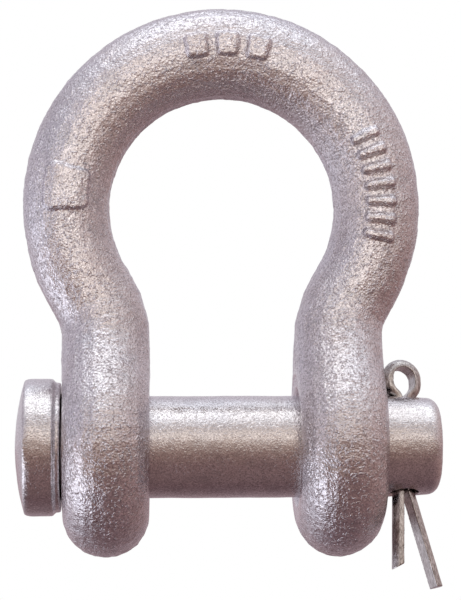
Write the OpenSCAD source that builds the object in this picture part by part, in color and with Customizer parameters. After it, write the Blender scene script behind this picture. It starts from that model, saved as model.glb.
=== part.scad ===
// Bow shackle of nominal 16 mm size, with a round pin held by a split cotter.
// X runs along the pin, Y runs through the bow, and Z points up to the crown.
// The origin is on the pin's axis, midway between the ears.

/* [Bow] */
// Diameter of the bar at the crown
crown_d = 17.2; // [15:0.1:18]
// Diameter of the bar at the sides of the bow
limb_d = 16.0; // [15:0.1:18]
// Diameter of the bar in the legs, above the ears
leg_d = 16.5; // [15:0.1:18]
// Radius of the bow, to the middle of the bar
bow_r = 29.3; // [28:0.1:31]
// Height of the bow's centre above the pin's axis
bow_z = 45.0; // [42:0.1:50]
// How far the bow's arc carries on below its centre's level, in degrees
bow_wrap = 30.5; // [22:0.5:32]
// Radius of the bend between each limb and its leg, to the middle of the bar
neck_r = 15; // [11:0.5:17]

/* [Ears] */
// Gap between the two ears
jaw_w = 27.7; // [26:0.1:29]
// Thickness of each ear across its flats
ear_t = 15.9; // [14:0.1:16]
// Diameter of each ear, seen from the side
ear_d = 41.0; // [38:0.1:42]
// Radius of the fillet where a leg widens into its ear, seen from the side
flare_r = 22; // [18:1:26]
// Diameter of the pin's bores
bore_d = 20.6; // [20:0.1:21.4]
// Diameter of the flat land round each bore
land_d = 27; // [25:0.5:28]
// How deep each land is cut into the ear's rounded face
land_cut = 0.25; // [0.15:0.05:0.5]
// Chamfer at each mouth of a bore
bore_chamfer = 0.8; // [0.4:0.1:1.2]

/* [Pin] */
// Diameter of the pin
pin_d = 19.05; // [18:0.05:19.6]
// Diameter of the pin's head
head_d = 25.6; // [24:0.1:28]
// Thickness of the pin's head
head_t = 7.4; // [5:0.1:8]
// Radius of the head's outer edge
head_edge_r = 3.2; // [1:0.1:5]
// Radius of the head's domed outer face
head_dome_r = 44; // [35:1:120]
// Radius of the head's edge beside the ear
head_back_r = 0.6; // [0.2:0.1:1]
// Diameter of the shoulder at the back of the head, which bears on the ear
shoulder_d = 24.2; // [21:0.1:25]
// Thickness of the shoulder
shoulder_t = 1.2; // [0.5:0.1:2]
// Radius of the shoulder's edge
shoulder_r = 0.3; // [0.1:0.1:0.5]
// End float between the shoulder and the ear it faces
end_float = 0.4; // [0.3:0.1:1]
// How far the pin's tail stands out of the other ear
tail_l = 10.8; // [10:0.1:12]
// Diameter that the tail tapers to, to lead the pin into its bores
tail_d = 18.2; // [17:0.1:19]
// Radius of the tail's edge
tail_edge_r = 2.3; // [0.5:0.1:2.5]
// Diameter of the cross-drilled cotter hole
cotter_hole_d = 5.6; // [5.6:0.1:6]
// Chamfer at each mouth of the cotter hole
cotter_hole_chamfer = 0.6; // [0.6:0.1:0.9]
// Distance from the ear's face to the middle of the cotter hole
cotter_hole_x = 4.1; // [4:0.1:5.2]
// How far the pin and its cotter hole are turned back from upright, in degrees
hole_tilt = 14; // [0:1:60]

/* [Cotter pin] */
// Diameter of the two half-round legs laid together
cotter_d = 3.5; // [3.2:0.1:3.6]
// Gap between the two sprung legs
split_gap = 0.6; // [0.1:0.1:0.6]
// Radius of the inside of the eye, at its top and bottom
eye_r = 2.2; // [2:0.1:2.6]
// How much taller than round the eye is
eye_rise = 0.6; // [0:0.1:2]
// Radius of the bends that lead from the legs into the eye
throat_r = 2.4; // [2.4:0.1:3]
// Depth inside the pin at which the legs part into the eye
throat_depth = 0.9; // [0.2:0.1:0.9]
// Radius of the bend that splays each leg
splay_r = 6; // [3:0.5:10]
// Depth inside the pin at which the legs start to splay
splay_depth = 2; // [0:0.1:2]
// How far the cotter leans in its loose hole, its eye towards the tail's end, in degrees
cotter_lean = 1.5; // [0:0.5:1.5]
// How far the cotter is swivelled in its hole, in degrees
cotter_turn = 15; // [0:1:60]
// Length of the short leg past its splay
short_leg_l = 15; // [10:0.5:16]
// Splay of the short leg, in degrees
short_leg_splay = 1; // [1:0.5:3]
// Length of the long leg past its splay
long_leg_l = 18; // [14:0.5:20]
// Splay of the long leg, in degrees
long_leg_splay = 17; // [5:1:18]
// Slant of the cut across the short leg's tip, in degrees
short_tip_slant = 30; // [0:5:45]
// Slant of the cut across the long leg's tip, in degrees
long_tip_slant = 5; // [0:5:45]

/* [Hidden] */
$fn = 64;

// How far a cutter stands proud of what it cuts, and a length too small to matter
proud = 1;
eps = 0.01;

// How finely the forging's skin is divided, along the bar and round it
disc_steps = 16;
flare_steps = 6;
bar_steps = 24;
edge_steps = 12;

// How finely the cotter's wire is divided, along its bends and round it
bend_steps = 5;
eye_steps = 22;
wire_steps = 10;

leg_x = (jaw_w + ear_t) / 2;
ear_face = jaw_w / 2 + ear_t;
pin_r = pin_d / 2;
bore_r = bore_d / 2;
head_r = head_d / 2;
cotter_hole_r = cotter_hole_d / 2;
tail_x = ear_face + tail_l;
cotter_x = ear_face + cotter_hole_x;

// ---- Centreline of the bar ----
// It is measured by its length s up from the pin's axis: a straight leg, the neck's bend,
// a straight limb, then the bow's arc to the crown.
limb_l = (bow_r * cos(bow_wrap) - leg_x - neck_r * (1 - cos(bow_wrap))) / sin(bow_wrap);
neck_x = leg_x + neck_r * (1 - cos(bow_wrap));
neck_z = bow_z - bow_r * sin(bow_wrap) - limb_l * cos(bow_wrap);
leg_top = neck_z - neck_r * sin(bow_wrap);
s_neck = leg_top + neck_r * bow_wrap * PI / 180;
s_bow = s_neck + limb_l;
s_crown = s_bow + bow_r * (90 + bow_wrap) * PI / 180;

// How far the centreline leans outwards at s, in degrees
function lean(s) =
    s < leg_top ? 0 :
    s < s_neck ? (s - leg_top) / neck_r * 180 / PI :
    s < s_bow ? bow_wrap :
    bow_wrap - (s - s_bow) / bow_r * 180 / PI;

// Point [x, z] of the centreline at s
function centre(s) =
    s < leg_top ? [leg_x, s] :
    s < s_neck ? [leg_x + neck_r * (1 - cos(lean(s))), leg_top + neck_r * sin(lean(s))] :
    s < s_bow ? [neck_x, neck_z] + (s - s_neck) * [sin(bow_wrap), cos(bow_wrap)] :
    [bow_r * cos(lean(s)), bow_z - bow_r * sin(lean(s))];

function mix(a, b, t) = a + (b - a) * t;
function ease(t) = let (u = min(max(t, 0), 1)) u * u * (3 - 2 * u);

// Half the bar's thickness at s, from the ear up to the crown
ear_edge_r = ear_t / 2 + land_cut;
plate_r = ear_d / 2 - ear_edge_r;
function bar_r(s) =
    s < leg_top ? mix(ear_edge_r, leg_d / 2, ease((s - plate_r) / (leg_top - plate_r))) :
    s < s_bow ? mix(leg_d, limb_d, ease((s - leg_top) / (s_bow - leg_top))) / 2 :
    mix(limb_d, crown_d, ease((s - s_bow) / (s_crown - s_bow))) / 2;

// ---- Skin of the forging ----
// Ear and leg are a flat plate with a half-round edge swept along its outline, and the
// plate narrows to nothing where the round bar starts. A station of the outline is
// [s, half width of the plate, angle of the outline's normal from +Y].
flare_plate_r = flare_r + leg_d / 2;
flare_top = sqrt(plate_r ^ 2 + 2 * plate_r * flare_plate_r);
flare_angle = atan2(flare_top, flare_plate_r);

stations = concat(
    [
        for (i = [0 : disc_steps - 1])
        let (a = mix(-90, flare_angle, i / disc_steps))
        [plate_r * sin(a), plate_r * cos(a), a]
    ],
    [
        for (i = [0 : flare_steps - 1])
        let (a = mix(flare_angle, 0, i / flare_steps))
        [flare_top - flare_plate_r * sin(a), flare_plate_r * (1 - cos(a)), a]
    ],
    [for (i = [0 : bar_steps]) [mix(flare_top, s_crown, i / bar_steps), 0, 0]]
);

// Point of the swept edge at a station: turn is 90 on the bow's outside and -90 on its
// inside, and side is -1 at the front and 1 at the back
function edge_point(station, turn, side) =
    let (
        r = bar_r(station[0]),
        s = station[0] + r * cos(turn) * sin(station[2]),
        y = side * (station[1] + r * cos(turn) * cos(station[2])) + 0,
        c = centre(s)
    )
    [c[0] + r * sin(turn) * cos(lean(s)), y, c[1] - r * sin(turn) * sin(lean(s))];

// One loop round the bar: out across the front, then back in across the rear
function ring(station) = [
    for (side = [-1, 1])
    for (j = [0 : edge_steps])
    edge_point(station, -side * mix(-90, 90, j / edge_steps), side)
];
ring_n = 2 * (edge_steps + 1);
half_n = len(stations);
rings_n = 2 * half_n - 1;
skin_points = concat(
    [for (station = stations) each ring(station)],
    [for (i = [half_n - 2 : -1 : 0]) for (p = ring(stations[i])) [-p[0], p[1], p[2]]]
);

// The plate has no width on the round bar and at the bottom of each ear, so there the
// ring's front and back halves share their end points
function plate_w(i) = stations[i < half_n ? i : rings_n - 1 - i][1];
function shared(i, k) = plate_w(i) < eps && (k + 1) % (edge_steps + 1) == 0;
skin_faces = [
    for (i = [0 : rings_n - 2])
    for (k = [0 : ring_n - 1])
    let (
        a = i * ring_n + k,
        b = i * ring_n + (k + 1) % ring_n
    )
    each concat(
        shared(i, k) ? [] : [[a, b, b + ring_n]],
        shared(i + 1, k) ? [] : [[a, b + ring_n, a + ring_n]]
    )
];

// Puts its children on the X axis, turned from Z to X
module along_x(x = 0) {
    translate([x, 0, 0])
        rotate([0, 90, 0])
        children();
}

// Bore of both ears, with a flat land on each face and a chamfer at each mouth
module pin_bores() {
    along_x() cylinder(r = bore_r, h = 2 * (ear_face + proud), center = true);
    along_x() cylinder(d = land_d, h = jaw_w, center = true);
    for (side = [0, 1])
    mirror([side, 0, 0]) {
        along_x(ear_face) cylinder(d = land_d, h = proud);
        along_x(ear_face - bore_chamfer)
            cylinder(r1 = bore_r, r2 = bore_r + bore_chamfer + eps, h = bore_chamfer + eps);
        along_x(jaw_w / 2 - eps)
            cylinder(r1 = bore_r + bore_chamfer + eps, r2 = bore_r, h = bore_chamfer + eps);
    }
}

module bow() {
    color("silver")
    difference() {
        polyhedron(points = skin_points, faces = skin_faces);
        pin_bores();
    }
}

// ---- Pin ----
// Half outline of the head and its shoulder, lying on the axis, with its outer face at the bottom
module head_outline() {
    straight_l = head_t - head_edge_r - head_back_r;
    square([head_r - head_edge_r, head_t]);
    translate([0, head_edge_r]) square([head_r, straight_l]);
    translate([0, head_edge_r]) square([head_r - head_back_r, straight_l + head_back_r]);
    translate([head_r - head_edge_r, head_edge_r]) circle(r = head_edge_r);
    translate([head_r - head_back_r, head_t - head_back_r]) circle(r = head_back_r);
    square([shoulder_d / 2, head_t + shoulder_t - shoulder_r]);
    square([shoulder_d / 2 - shoulder_r, head_t + shoulder_t]);
    translate([shoulder_d / 2 - shoulder_r, head_t + shoulder_t - shoulder_r]) circle(r = shoulder_r);
}

module head() {
    intersection() {
        rotate_extrude() head_outline();
        translate([0, 0, head_dome_r]) sphere(r = head_dome_r, $fn = 180);
    }
}

// Half outline of the shank, from inside the head to the tapered tail
module shank_outline(l) {
    tail_r = tail_d / 2;
    square([tail_r - tail_edge_r, l]);
    polygon([[0, 0], [pin_r, 0], [pin_r, l - tail_l], [tail_r, l - tail_edge_r], [0, l - tail_edge_r]]);
    translate([tail_r - tail_edge_r, l - tail_edge_r]) circle(r = tail_edge_r);
}

module round_pin() {
    head_back = -ear_face - end_float - shoulder_t;
    shank_start = head_back - head_t / 2;
    color("gainsboro")
    difference() {
        union() {
            along_x(head_back - head_t) head();
            along_x(shank_start) rotate_extrude() shank_outline(tail_x - shank_start);
        }
        in_cotter_hole() cylinder(r = cotter_hole_r, h = 2 * pin_d, center = true);
        for (end = [0, 1])
        in_cotter_hole()
            mirror([0, 0, end])
            translate([0, 0, pin_r - cotter_hole_chamfer])
            cylinder(
                r1 = cotter_hole_r,
                r2 = cotter_hole_r + cotter_hole_chamfer + proud,
                h = cotter_hole_chamfer + proud
            );
    }
}

// Puts its children in the cotter hole, with Z up along the hole
module in_cotter_hole() {
    translate([cotter_x, 0, 0])
        rotate([-hole_tilt, 0, 0])
        children();
}

// ---- Cotter pin ----
// The wire is drawn in the XZ plane, with Z up along the hole and the eye on top. A station
// of the wire is [x, z, direction of its round back from +X]; x and z lie on its flat.
wire_r = cotter_d / 2;
half_gap = split_gap / 2;
splay_z = splay_depth - pin_r;
throat_z = pin_r - throat_depth;
throat_turn = acos((throat_r + half_gap) / (throat_r + eye_r));
eye_z = throat_z + (throat_r + eye_r) * sin(throat_turn);

// One leg and its bend into the eye, from the tip upwards
function wire_side(l, splay) =
    let (
        foot_x = half_gap + splay_r * (1 - cos(splay)),
        foot_z = splay_z - splay_r * sin(splay)
    )
    concat(
        [[foot_x + l * sin(splay), foot_z - l * cos(splay), splay]],
        [
            for (i = [0 : bend_steps])
            let (a = splay * (1 - i / bend_steps))
            [half_gap + splay_r * (1 - cos(a)), splay_z - splay_r * sin(a), a]
        ],
        [
            for (i = [0 : bend_steps])
            let (a = throat_turn * i / bend_steps)
            [half_gap + throat_r * (1 - cos(a)), throat_z + throat_r * sin(a), -a]
        ]
    );

long_side = wire_side(long_leg_l, long_leg_splay);
short_side = wire_side(short_leg_l, short_leg_splay);
wire_stations = concat(
    long_side,
    [
        for (i = [1 : eye_steps - 1])
        let (
            a = mix(-throat_turn, 180 + throat_turn, i / eye_steps),
            rise = sin(a) > 0 ? eye_rise : 0
        )
        [eye_r * cos(a), eye_z + rise + eye_r * sin(a), a]
    ],
    [
        for (i = [len(short_side) - 1 : -1 : 0])
        [-short_side[i][0], short_side[i][1], 180 - short_side[i][2]]
    ]
);

// Half-round section of the wire at a station. At a tip the cut slants, and makes the back
// longer than the flat by slant times its height: 0 is a square cut.
function wire_ring(station, slant) = [
    for (j = [0 : wire_steps])
    let (
        turn = mix(-90, 90, j / wire_steps),
        back = wire_r * cos(turn),
        b = station[2]
    )
    [
        station[0] + back * (cos(b) + slant * sin(b)),
        wire_r * sin(turn),
        station[1] + back * (sin(b) - abs(slant * cos(b)))
    ]
];

wire_ring_n = wire_steps + 1;
wire_last = len(wire_stations) - 1;
wire_points = [
    for (i = [0 : wire_last])
    each wire_ring(wire_stations[i], i == 0 ? tan(long_tip_slant) : i == wire_last ? tan(short_tip_slant) : 0)
];
wire_faces = concat(
    [[for (j = [0 : wire_steps]) j]],
    [[for (j = [wire_steps : -1 : 0]) wire_last * wire_ring_n + j]],
    [
        for (i = [0 : wire_last - 1])
        for (j = [0 : wire_steps])
        let (
            a = i * wire_ring_n + j,
            b = i * wire_ring_n + (j + 1) % wire_ring_n
        )
        each [[a, b + wire_ring_n, b], [a, a + wire_ring_n, b + wire_ring_n]]
    ]
);

module cotter_pin() {
    color("darkgray")
    in_cotter_hole()
    rotate([0, cotter_lean, 0])
    rotate([0, 0, cotter_turn])
    polyhedron(points = wire_points, faces = wire_faces);
}

bow();
round_pin();
cotter_pin();
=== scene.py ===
"""A galvanized bow shackle: one forging, its round pin and the split cotter, on a plain white floor."""
import math

import bmesh
import bpy
import numpy as np
from mathutils import Matrix, Vector, noise


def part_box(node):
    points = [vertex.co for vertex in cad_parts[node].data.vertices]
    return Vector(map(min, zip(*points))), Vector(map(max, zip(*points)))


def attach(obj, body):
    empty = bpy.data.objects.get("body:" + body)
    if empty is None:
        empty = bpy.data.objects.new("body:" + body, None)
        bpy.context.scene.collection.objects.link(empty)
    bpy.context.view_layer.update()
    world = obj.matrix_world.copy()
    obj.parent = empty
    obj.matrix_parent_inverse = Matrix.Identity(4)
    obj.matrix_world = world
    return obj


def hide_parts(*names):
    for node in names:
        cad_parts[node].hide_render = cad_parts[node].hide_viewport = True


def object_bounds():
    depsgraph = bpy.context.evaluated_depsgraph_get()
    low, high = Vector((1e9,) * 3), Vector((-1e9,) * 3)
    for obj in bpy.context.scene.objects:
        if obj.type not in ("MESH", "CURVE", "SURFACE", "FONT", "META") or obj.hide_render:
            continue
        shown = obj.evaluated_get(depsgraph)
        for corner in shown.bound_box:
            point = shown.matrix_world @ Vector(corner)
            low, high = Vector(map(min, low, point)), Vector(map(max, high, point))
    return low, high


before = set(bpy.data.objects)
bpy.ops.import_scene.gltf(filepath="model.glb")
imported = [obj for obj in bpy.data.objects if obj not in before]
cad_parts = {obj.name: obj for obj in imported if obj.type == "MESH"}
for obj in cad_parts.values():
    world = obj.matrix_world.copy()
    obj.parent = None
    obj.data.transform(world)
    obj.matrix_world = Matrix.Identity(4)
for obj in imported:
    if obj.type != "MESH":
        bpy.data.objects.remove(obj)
cad_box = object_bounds()

MM = 0.001

# The bar the bow is forged from, in mm
CROWN_D = 17.2
LIMB_D = 16.0

# The smooth land round each bore, and the width over which the lumps beyond it fade in, in mm
LAND_R = 13.6
LAND_FADE = 2.5
# Share of the lumps that stays on the lands
LAND_LUMPS = 0.12

# Size of the even quads each piece is rebuilt from, in mm
BOW_QUAD = 0.27
PIN_QUAD = 0.27
COTTER_QUAD = 0.13

# Heights of the relief on the bow, in mm
BOW_WAVES = 0.12
BOW_ZINC = 0.075
BOW_SAND = 0.045
BOW_PIMPLES = 0.12
# The parting line round the bow stands proud of the band that its flash was trimmed to, in mm:
# heights, half widths, and how far the line wanders
PARTING_HEIGHT = 0.13
PARTING_HALF = 0.7
TRIM_DEPTH = 0.07
TRIM_HALF = 2.4
PARTING_WANDER = 0.35
PARTING_WAVE = 6.0

# Heights of the relief on the pin and on the cotter's wire, in mm
PIN_WAVES = 0.05
PIN_ZINC = 0.025
PIN_SAND = 0.014
WIRE_DRAWN = 0.012
WIRE_WAVES = 0.02
# The cotter's cut tips lie below this height, in mm
TIP_Z = -12.0

# Raised marks on the front of the bow, in mm: height, width of the slope round each, unevenness
MARK_HEIGHT = 0.8
MARK_SLOPE = 0.36
MARK_WOBBLE = 0.16
# Each mark's half length along the bar, half width across it and corner radius, in mm
SMALL_TILE = (1.9, 2.1, 0.7)
LARGE_TILE = (4.0, 4.0, 1.4)
RUNG = (0.75, 2.7, 0.6)
# How far out from the middle of the bar the small tiles sit, in mm
SMALL_TILES_OUT = 0.6
# Where the marks sit round the bow, in degrees clockwise from the crown
SMALL_TILES_FROM = -9.5
SMALL_TILES_STEP = 11.0
LARGE_TILE_AT = -84.0
RUNGS_FROM = 64.0
RUNGS_STEP = 6.2


# ---------------------------------------------------------------- mesh tools

def rebuilt(node, name, voxel, smooth_steps):
    """A new object with the CAD node's shape, as even quads, its mesh in millimetres."""
    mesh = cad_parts[node].data.copy()
    mesh.materials.clear()
    shell = bmesh.new()
    shell.from_mesh(mesh)
    bmesh.ops.remove_doubles(shell, verts=shell.verts, dist=1e-6)
    shell.to_mesh(mesh)
    shell.free()
    mesh.transform(Matrix.Scale(1 / MM, 4))
    rough = bpy.data.objects.new(name + "_rough", mesh)
    bpy.context.scene.collection.objects.link(rough)
    remesh = rough.modifiers.new("even_quads", "REMESH")
    remesh.mode = "VOXEL"
    remesh.voxel_size = voxel
    smooth = rough.modifiers.new("round_off", "SMOOTH")
    smooth.factor = 0.5
    smooth.iterations = smooth_steps
    bpy.context.view_layer.update()
    graph = bpy.context.evaluated_depsgraph_get()
    final = bpy.data.meshes.new_from_object(rough.evaluated_get(graph))
    final.name = name
    bpy.data.objects.remove(rough)
    piece = bpy.data.objects.new(name, final)
    bpy.context.scene.collection.objects.link(piece)
    return piece


def points_of(mesh):
    """The mesh's vertices as rows of x, y, z."""
    flat = np.empty(len(mesh.vertices) * 3, np.float32)
    mesh.vertices.foreach_get("co", flat)
    return flat.reshape(-1, 3).astype(float)


def normals_of(mesh):
    """The mesh's vertex normals as rows of x, y, z."""
    flat = np.empty(len(mesh.vertices) * 3, np.float32)
    mesh.vertex_normals.foreach_get("vector", flat)
    return flat.reshape(-1, 3).astype(float)


def store(mesh, name, values):
    """Keeps one number per vertex on the mesh, for its material to read."""
    layer = mesh.attributes.new(name, "FLOAT", "POINT")
    layer.data.foreach_set("value", values.astype(np.float32))


def finished(piece, points, node, body):
    """Writes the moved points back, in metres, shades the piece smooth and puts it on its body."""
    mesh = piece.data
    mesh.vertices.foreach_set("co", (points * MM).astype(np.float32).ravel())
    mesh.polygons.foreach_set("use_smooth", np.ones(len(mesh.polygons), bool))
    mesh.update()
    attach(piece, body)
    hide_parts(node)


def smoothstep(low, high, values):
    """0 up to low, 1 from high on, and a smooth climb between them."""
    t = np.clip((values - low) / (high - low), 0, 1)
    return t * t * (3 - 2 * t)


def lumps(points, width, octaves, shift):
    """Smooth noise from about -1 to 1 at each point, with lumps about this wide in mm.

    shift picks another stretch of the noise, so that no two layers are alike.
    """
    scaled = points / width + shift
    return np.array([noise.fractal(p, 1.0, 2.0, octaves) for p in scaled.tolist()])


# ------------------------------------------------------------- raised marks

def bar_mark(u, v, half_u, half_v, corner):
    """Distance to a bar with round corners: below 0 inside."""
    du = np.abs(u) - (half_u - corner)
    dv = np.abs(v) - (half_v - corner)
    outside = np.hypot(np.maximum(du, 0), np.maximum(dv, 0))
    return outside + np.minimum(np.maximum(du, dv), 0) - corner


def mark_height(points, normals, bow_r, bow_z):
    """Height in mm of the plain raised marks on the front of the bow, at each vertex."""
    radius = np.hypot(points[:, 0], points[:, 2] - bow_z)
    angle = np.arctan2(points[:, 0], points[:, 2] - bow_z)
    wobble = MARK_WOBBLE * lumps(points, width=1.3, octaves=2, shift=40.0)
    nearest = np.full(len(points), np.inf)

    def place(angle_deg, shape):
        nonlocal nearest
        turn = angle - math.radians(angle_deg)
        u = bow_r * turn
        v = radius - bow_r
        nearest = np.minimum(nearest, shape(u, v))

    # crown: a row of three plain tiles
    for step in range(3):
        at = SMALL_TILES_FROM + SMALL_TILES_STEP * step
        place(at, lambda u, v: bar_mark(u, v - SMALL_TILES_OUT, *SMALL_TILE))
    # left limb: one larger plain tile
    place(LARGE_TILE_AT, lambda u, v: bar_mark(u, v, *LARGE_TILE))
    # right limb: a ladder of seven rungs across the bar
    for step in range(7):
        place(RUNGS_FROM + RUNGS_STEP * step, lambda u, v: bar_mark(u, v, *RUNG))

    front = smoothstep(0.15, 0.5, -normals[:, 1])
    return MARK_HEIGHT * smoothstep(MARK_SLOPE, -MARK_SLOPE, nearest + wobble) * front


# -------------------------------------------------------------------- pieces

def make_bow():
    """The forging: rebuilt from the CAD bow, with zinc lumps, a trimmed parting line and raised marks."""
    low, high = (np.array(corner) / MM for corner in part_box("bow"))
    bow_r = high[0] - LIMB_D / 2
    bow_z = high[2] - CROWN_D / 2 - bow_r
    piece = rebuilt("bow", "bow_forging", BOW_QUAD, smooth_steps=5)
    points = points_of(piece.data)
    normals = normals_of(piece.data)

    from_pin = np.hypot(points[:, 1], points[:, 2])
    free = smoothstep(LAND_R, LAND_R + LAND_FADE, from_pin)
    lumpy = np.clip(free + LAND_LUMPS, 0, 1)

    waves = lumps(points, width=9.0, octaves=2, shift=3.0)
    zinc = lumps(points, width=2.4, octaves=3, shift=11.0)
    sand = lumps(points, width=0.85, octaves=2, shift=23.0)
    pimples = np.clip(lumps(points, width=1.7, octaves=1, shift=31.0) - 0.35, 0, 1)

    edge_on = 1 - np.abs(normals[:, 1])
    line_y = points[:, 1] + PARTING_WANDER * lumps(points, width=PARTING_WAVE, octaves=1, shift=51.0)
    parting = np.exp(-(line_y / PARTING_HALF) ** 2) * smoothstep(0.75, 0.95, edge_on)
    trimmed = np.exp(-(line_y / TRIM_HALF) ** 4) * smoothstep(0.75, 0.95, edge_on)

    marks = mark_height(points, normals, bow_r, bow_z)
    lift = (
        lumpy * (BOW_WAVES * waves + BOW_ZINC * zinc + BOW_SAND * sand + BOW_PIMPLES * pimples)
        + free * (PARTING_HEIGHT * parting - TRIM_DEPTH * trimmed)
        + free * marks
    )
    store(piece.data, "mark", marks)
    store(piece.data, "land", 1 - free)
    # Painted shade: the low points of the zinc relief, which the material darkens
    store(piece.data, "hollow_shade", np.clip(-zinc - 0.5 * waves, 0, 1))
    moved = points + normals * lift[:, None]
    finished(piece, moved, "bow", "bow")
    return piece


def make_pin():
    """The round pin: rebuilt from the CAD pin, its edges eased and its zinc slightly uneven."""
    piece = rebuilt("round_pin", "round_pin_galvanized", PIN_QUAD, smooth_steps=3)
    points = points_of(piece.data)
    normals = normals_of(piece.data)
    waves = lumps(points, width=7.0, octaves=2, shift=61.0)
    zinc = lumps(points, width=2.2, octaves=2, shift=67.0)
    sand = lumps(points, width=0.8, octaves=2, shift=71.0)
    lift = PIN_WAVES * waves + PIN_ZINC * zinc + PIN_SAND * sand
    # Painted shade: the low points of the zinc relief, which the material darkens
    store(piece.data, "hollow_shade", np.clip(-zinc - 0.5 * waves, 0, 1))
    moved = points + normals * lift[:, None]
    finished(piece, moved, "round_pin", "pin")
    return piece


def make_cotter():
    """The split pin: rebuilt from the CAD wire, with draw marks and freshly cut tips."""
    piece = rebuilt("cotter_pin", "cotter_wire_split", COTTER_QUAD, smooth_steps=3)
    points = points_of(piece.data)
    normals = normals_of(piece.data)
    drawn = lumps(points * np.array([1.0, 1.0, 0.15]), width=0.8, octaves=2, shift=83.0)
    waves = lumps(points, width=3.0, octaves=1, shift=89.0)
    lift = WIRE_DRAWN * drawn + WIRE_WAVES * waves
    cut = smoothstep(0.55, 0.8, -normals[:, 2]) * smoothstep(TIP_Z, TIP_Z - 2, points[:, 2])
    store(piece.data, "cut", cut)
    moved = points + normals * lift[:, None]
    finished(piece, moved, "cotter_pin", "cotter")
    return piece


# ----------------------------------------------------------------- materials

# How deep the finest relief is, in mm: the zinc's grain, and the wire's draw lines
ZINC_BUMP = 0.15
WIRE_BUMP = 0.05


class Nodes:
    """Adds shader nodes to a tree and links them up."""

    def __init__(self, tree):
        self.tree = tree
        tree.nodes.clear()

    def add(self, kind, inputs=(), **settings):
        node = self.tree.nodes.new(kind)
        for name, value in settings.items():
            setattr(node, name, value)
        for key, value in dict(inputs).items():
            self.feed(node.inputs[key], value)
        return node

    def feed(self, socket, value):
        if isinstance(value, bpy.types.NodeSocket):
            self.tree.links.new(value, socket)
        else:
            socket.default_value = value

    def math(self, operation, *values):
        node = self.add("ShaderNodeMath", operation=operation)
        for socket, value in zip(node.inputs, values):
            self.feed(socket, value)
        return node.outputs[0]

    def noise(self, place, scale, detail, roughness=0.5):
        node = self.add(
            "ShaderNodeTexNoise",
            {"Vector": place, "Scale": scale, "Detail": detail, "Roughness": roughness},
        )
        return node.outputs["Fac"]

    def ramp(self, value, stops):
        node = self.add("ShaderNodeValToRGB", {"Fac": value})
        elements = node.color_ramp.elements
        while len(elements) < len(stops):
            elements.new(0.5)
        for element, (position, color) in zip(elements, stops):
            element.position = position
            element.color = (*color, 1)
        return node.outputs["Color"]

    def mix(self, amount, first, second, blend="MIX"):
        node = self.add("ShaderNodeMix", data_type="RGBA", blend_type=blend)
        self.feed(node.inputs[0], amount)
        self.feed(node.inputs[6], first)
        self.feed(node.inputs[7], second)
        return node.outputs[2]


def srgb(red, green, blue):
    """A colour on the 0 to 255 scale, as linear light."""
    return tuple(((c / 255 + 0.055) / 1.055) ** 2.4 for c in (red, green, blue))


def grey(level):
    return (level, level, level)


def zinc_material(name, grain, bump, base, stain, marks):
    """Galvanized steel: sandy satin zinc with bright crests and faint stains, and painted shade in the
    hollows of its relief.

    grain is how many grains there are to a millimetre, and bump is how strongly they stand up.
    """
    material = bpy.data.materials.new(name)
    material.use_nodes = True
    n = Nodes(material.node_tree)
    place = n.add("ShaderNodeTexCoord").outputs["Object"]
    mm = n.add("ShaderNodeVectorMath", {0: place, "Scale": 1 / MM}, operation="SCALE")
    mm = mm.outputs[0]

    # stains about 11 mm across, clouds about 2 mm across, and single grains
    broad = n.noise(mm, 0.09, 3)
    cloud = n.noise(mm, 0.45, 4, 0.6)
    sand = n.noise(mm, grain, 2, 0.65)
    specks = n.add("ShaderNodeTexVoronoi", {"Vector": mm, "Scale": grain * 0.8})
    specks = specks.outputs["Distance"]

    sand_tones = [(0.30, grey(0.46)), (0.45, grey(0.86)), (0.56, grey(1.0)), (0.70, grey(1.28))]
    color = n.ramp(sand, sand_tones)
    color = n.mix(1.0, color, (*base, 1), "MULTIPLY")
    stained = n.ramp(broad, [(0.35, grey(0)), (0.65, grey(1))])
    color = n.mix(n.math("MULTIPLY", stained, 0.35), color, (*stain, 1))
    # Painted shade: the low points of the relief are darkened towards 0.62 of the base colour
    hollow_shade = n.add("ShaderNodeAttribute", attribute_name="hollow_shade").outputs["Fac"]
    color = n.mix(n.math("MULTIPLY", hollow_shade, 0.45), color, (*[c * 0.62 for c in base], 1))

    rough = n.math("MULTIPLY_ADD", cloud, 0.10, 0.03)
    rough = n.math("MULTIPLY_ADD", sand, 0.06, rough)
    if marks:
        raised = n.add("ShaderNodeAttribute", attribute_name="mark").outputs["Fac"]
        rough = n.math("MULTIPLY_ADD", raised, -0.06, rough)
        land = n.add("ShaderNodeAttribute", attribute_name="land").outputs["Fac"]
        rough = n.math("MULTIPLY_ADD", land, -0.05, rough)

    crests = n.add("ShaderNodeMapRange", {
        "Value": n.noise(mm, grain * 0.55, 2, 0.6), "From Min": 0.54, "From Max": 0.70,
    }, interpolation_type="SMOOTHSTEP")
    height = n.math("MULTIPLY_ADD", cloud, 1.2, n.math("MULTIPLY", sand, 0.7))
    height = n.math("MULTIPLY_ADD", crests.outputs[0], 0.9, height)
    height = n.math("MULTIPLY_ADD", specks, 0.5, height)
    bumped = n.add("ShaderNodeBump", {"Height": height, "Strength": bump, "Distance": ZINC_BUMP * MM})

    shader = n.add("ShaderNodeBsdfPrincipled", {
        "Base Color": color,
        "Metallic": 1.0,
        "Roughness": rough,
        "Specular Tint": (0.94, 0.92, 0.95, 1),
        "Normal": bumped.outputs["Normal"],
    })
    n.add("ShaderNodeOutputMaterial", {"Surface": shader.outputs[0]})
    return material


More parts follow.
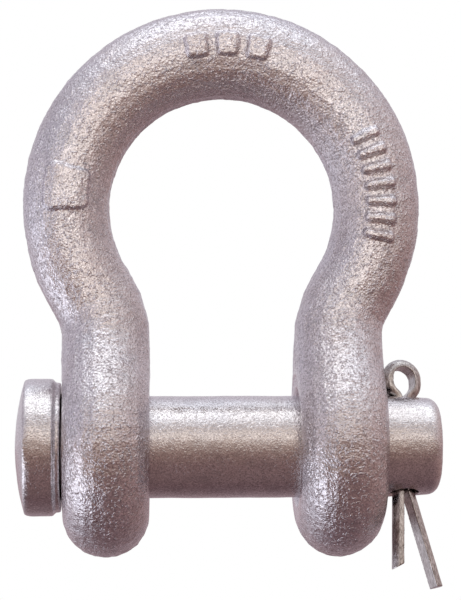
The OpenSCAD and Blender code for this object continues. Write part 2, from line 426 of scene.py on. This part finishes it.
def wire_material():
    """Drawn steel wire: dull grey, fine lines along it, bright where the tips were cut."""
    material = bpy.data.materials.new("cotter_wire")
    material.use_nodes = True
    n = Nodes(material.node_tree)
    place = n.add("ShaderNodeTexCoord").outputs["Object"]
    mm = n.add("ShaderNodeVectorMath", {0: place, "Scale": 1 / MM}, operation="SCALE")
    along = n.add("ShaderNodeVectorMath", {0: mm.outputs[0], 1: (1, 1, 0.08)}, operation="MULTIPLY")
    draw = n.noise(along.outputs[0], 5.0, 3, 0.6)
    cloud = n.noise(mm.outputs[0], 0.6, 3)
    sand = n.noise(mm.outputs[0], 4.0, 2)
    steel_tones = [(0.3, srgb(110, 106, 104)), (0.5, srgb(188, 184, 182)), (0.72, srgb(242, 240, 238))]
    color = n.ramp(draw, steel_tones)
    color = n.mix(n.math("MULTIPLY", cloud, 0.5), color, (*srgb(158, 151, 144), 1))
    cut = n.add("ShaderNodeAttribute", attribute_name="cut").outputs["Fac"]
    color = n.mix(cut, color, (*srgb(225, 226, 228), 1))
    rough = n.math("MULTIPLY_ADD", sand, 0.16, 0.12)
    rough = n.math("MULTIPLY_ADD", cut, 0.25, rough)
    height = n.math("MULTIPLY_ADD", sand, 0.5, draw)
    bumped = n.add("ShaderNodeBump", {"Height": height, "Strength": 0.5, "Distance": WIRE_BUMP * MM})
    shader = n.add("ShaderNodeBsdfPrincipled", {
        "Base Color": color,
        "Metallic": 1.0,
        "Roughness": rough,
        "Normal": bumped.outputs["Normal"],
    })
    n.add("ShaderNodeOutputMaterial", {"Surface": shader.outputs[0]})
    return material


def floor_material():
    """Plain white, as even as a light table."""
    material = bpy.data.materials.new("floor_white")
    material.use_nodes = True
    n = Nodes(material.node_tree)
    glow = n.add("ShaderNodeEmission", {"Color": (1, 1, 1, 1)})
    n.add("ShaderNodeOutputMaterial", {"Surface": glow.outputs[0]})
    return material


# ---------------------------------------------------------------------- room

# How bright the room looks in satin zinc, next to the room itself
MIRROR = 0.80
# The room's colour by angle, in degrees: ARCH runs from ahead (0) over the top (90) to behind (180),
# and under the shackle (-90) to behind (-180); LEFT and RIGHT run from straight down to straight up.
# These colours, and BOX's, aren't picked by eye: they began as average colours of the photo, measured
# by reflection angle, and were then changed by comparing the render's averages with the photo's
ARCH = [
    (-180, (178, 161, 165)),
    (-130, (122, 102, 106)),
    (-104, (98, 77, 81)),
    (-74, (116, 94, 95)),
    (-38, (118, 94, 94)),
    (-24, (130, 108, 104)),
    (-12, (182, 166, 160)),
    (0, (288, 280, 275)),
    (11, (296, 287, 281)),
    (31, (218, 206, 200)),
    (52, (190, 185, 190)),
    (64, (240, 241, 248)),
    (98, (308, 311, 317)),
    (112, (248, 252, 263)),
    (132, (203, 199, 209)),
    (180, (204, 199, 204)),
]
LEFT = [
    (-90, (104, 90, 98)),
    (-60, (116, 104, 116)),
    (-35, (198, 194, 204)),
    (-12, (218, 215, 225)),
    (8, (188, 182, 193)),
    (25, (178, 171, 181)),
    (50, (192, 188, 199)),
    (90, (242, 243, 248)),
]
RIGHT = [
    (-90, (110, 88, 94)),
    (-40, (130, 105, 105)),
    (-15, (150, 123, 120)),
    (5, (180, 160, 158)),
    (30, (200, 188, 190)),
    (60, (214, 211, 216)),
    (90, (240, 241, 247)),
]
# How far sideways the arch starts to give way to the sides, and where it is gone, as parts of 1
SIDES_FROM = 0.15
SIDES_FULL = 0.85
# A cool window low on the left: the way to it, how near that way its edge is (1 is its middle), its light
WINDOW_WAY = (-0.86, -0.20, -0.44)
WINDOW_EDGE = 0.80
WINDOW_LIGHT = (0.95, 1.0, 1.12, 1)


# The dark box in front, in mm: its half width, where its floor starts, where its wall stands, the
# heights of its floor and its rim, and its colours by height
BOX_HALF = 400
BOX_NEAR = -60
BOX_FAR = -100
BOX_LOW = -30
BOX_HIGH = 30
BOX = [
    (-30, (130, 106, 102)),
    (-19, (144, 121, 115)),
    (-7, (156, 135, 128)),
    (4, (174, 156, 148)),
    (16, (190, 174, 167)),
    (30, (206, 192, 186)),
]


def mirrored(stops):
    """Ramp stops from 0 to 1 that look like these colours once the zinc mirrors them."""
    low, high = stops[0][0], stops[-1][0]
    return [((at - low) / (high - low), [c / MIRROR for c in srgb(*color)]) for at, color in stops]


def room_light():
    """A soft room for the metal to mirror: bright above, warm ahead, dark below, a window on the left."""
    world = bpy.data.worlds.new("studio")
    bpy.context.scene.world = world
    world.use_nodes = True
    n = Nodes(world.node_tree)
    way = n.add("ShaderNodeTexCoord").outputs["Generated"]
    split = n.add("ShaderNodeSeparateXYZ", {"Vector": way})
    x, y, z = split.outputs

    def along(angle, stops):
        """The colour at this angle in degrees, read off the list of stops."""
        low, high = stops[0][0], stops[-1][0]
        share = n.math("DIVIDE", n.math("SUBTRACT", angle, low), high - low)
        return n.ramp(share, mirrored(stops))

    arch = n.math("MULTIPLY", n.math("ARCTAN2", z, n.math("MULTIPLY", y, -1.0)), 180 / math.pi)
    rise = n.math("MULTIPLY", n.math("ARCSINE", z), 180 / math.pi)
    sides = n.mix(n.math("GREATER_THAN", x, 0.0), along(rise, LEFT), along(rise, RIGHT))
    sideways = n.add("ShaderNodeMapRange", {
        "Value": n.math("ABSOLUTE", x), "From Min": SIDES_FROM, "From Max": SIDES_FULL,
    }, interpolation_type="SMOOTHSTEP")
    room = n.mix(sideways.outputs[0], along(arch, ARCH), sides)

    toward = Vector(WINDOW_WAY).normalized()
    near = n.add("ShaderNodeVectorMath", {0: way, 1: toward}, operation="DOT_PRODUCT")
    glow = n.add("ShaderNodeMapRange", {
        "Value": near.outputs["Value"], "From Min": WINDOW_EDGE, "From Max": 1.0,
    }, interpolation_type="SMOOTHSTEP")
    window = n.mix(glow.outputs[0], (0, 0, 0, 1), WINDOW_LIGHT)
    room = n.mix(1.0, room, window, "ADD")

    seen = n.add("ShaderNodeLightPath").outputs["Is Camera Ray"]
    sky = n.mix(seen, room, (1, 1, 1, 1))
    back = n.add("ShaderNodeBackground", {"Color": sky, "Strength": 1.0})
    n.add("ShaderNodeOutputWorld", {"Surface": back.outputs[0]})


# A square soft lamp above, in metres and watts
KEY_PLACE = (-0.15, -0.25, 0.75)
KEY_TARGET = (0, 0, 0.03)
KEY_SIZE = 0.45
KEY_WATTS = 0.25


def key_light():
    light = bpy.data.lights.new("key", "AREA")
    light.shape = "SQUARE"
    light.size = KEY_SIZE
    light.energy = KEY_WATTS
    lamp = bpy.data.objects.new("key", light)
    lamp.location = KEY_PLACE
    lamp.rotation_mode = "QUATERNION"
    lamp.rotation_quaternion = (Vector(KEY_TARGET) - Vector(KEY_PLACE)).to_track_quat("-Z", "Y")
    bpy.context.scene.collection.objects.link(lamp)


def dark_box():
    """A dark box in front, seen only in reflections: low pieces mirror it, and high ones see over it."""
    mesh = bpy.data.meshes.new("dark_box")
    rows = [(BOX_NEAR, BOX_LOW), (BOX_FAR, BOX_LOW), (BOX_FAR, BOX_HIGH)]
    corners = [(x * MM, y * MM, z * MM) for y, z in rows for x in (-BOX_HALF, BOX_HALF)]
    mesh.from_pydata(corners, [], [(0, 1, 3, 2), (2, 3, 5, 4)])
    material = bpy.data.materials.new("dark_box")
    material.use_nodes = True
    n = Nodes(material.node_tree)
    place = n.add("ShaderNodeTexCoord").outputs["Object"]
    z = n.add("ShaderNodeSeparateXYZ", {"Vector": place}).outputs["Z"]
    share = n.math("DIVIDE", n.math("SUBTRACT", z, BOX_LOW * MM), (BOX_HIGH - BOX_LOW) * MM)
    glow = n.add("ShaderNodeEmission", {"Color": n.ramp(share, mirrored(BOX))})
    n.add("ShaderNodeOutputMaterial", {"Surface": glow.outputs[0]})
    mesh.materials.append(material)
    box = bpy.data.objects.new("dark_box", mesh)
    bpy.context.scene.collection.objects.link(box)
    box.visible_camera = False
    box.visible_diffuse = False
    box.visible_shadow = False


# Half the floor's width in metres, and its gap below the shackle in mm
FLOOR_HALF = 3.0
FLOOR_GAP = 1.2


def lay_floor():
    """A plain white floor just under the shackle, out to beyond what the camera sees."""
    mesh = bpy.data.meshes.new("floor")
    half = FLOOR_HALF
    height = cad_box[0].z - FLOOR_GAP * MM
    corners = [(-half, -half, height), (half, -half, height), (half, half, height), (-half, half, height)]
    mesh.from_pydata(corners, [], [(0, 1, 2, 3)])
    mesh.materials.append(floor_material())
    floor = bpy.data.objects.new("floor", mesh)
    bpy.context.scene.collection.objects.link(floor)
    floor.visible_glossy = False
    floor.visible_diffuse = False
    floor.visible_shadow = False


# -------------------------------------------------------------------- camera

# The camera looks at this point, in mm, a little from the left and slightly upward
LOOK_AT = (1.59, 0.0, 27.59)
DISTANCE = 400.0
# Its angles in degrees, and its focal length and the width of its sensor in mm
YAW = 3.0
TILT = 4.0
ROLL = 0.2
LENS = 127.4
SENSOR_W = 36
# The nearest it sees, in metres
CLIP_START = 0.01


def place_camera():
    yaw, tilt, roll = (math.radians(a) for a in (YAW, TILT, ROLL))
    ahead = Vector((math.sin(yaw) * math.cos(tilt), math.cos(yaw) * math.cos(tilt), math.sin(tilt)))
    right = Vector((math.cos(yaw), -math.sin(yaw), 0))
    up = right.cross(ahead)
    rolled_right = right * math.cos(roll) - up * math.sin(roll)
    rolled_up = right * math.sin(roll) + up * math.cos(roll)
    spot = (Vector(LOOK_AT) - ahead * DISTANCE) * MM
    data = bpy.data.cameras.new("camera")
    data.lens = LENS
    data.sensor_width = SENSOR_W
    data.clip_start = CLIP_START
    camera = bpy.data.objects.new("camera", data)
    turn = Matrix((rolled_right, rolled_up, -ahead)).transposed().to_4x4()
    camera.matrix_world = Matrix.Translation(spot) @ turn
    bpy.context.scene.collection.objects.link(camera)
    bpy.context.scene.camera = camera


# ---------------------------------------------------------------------- make

bow = make_bow()
bow.data.materials.append(zinc_material(
    "forged_zinc", grain=2.8, bump=1.0, base=srgb(222, 219, 222), stain=srgb(205, 192, 186), marks=True))
pin = make_pin()
pin.data.materials.append(zinc_material(
    "pin_zinc", grain=3.6, bump=0.32, base=srgb(222, 219, 220), stain=srgb(206, 196, 188), marks=False))
cotter = make_cotter()
cotter.data.materials.append(wire_material())

room_light()
key_light()
dark_box()
lay_floor()
place_camera()
bpy.context.scene.view_settings.view_transform = "Standard"
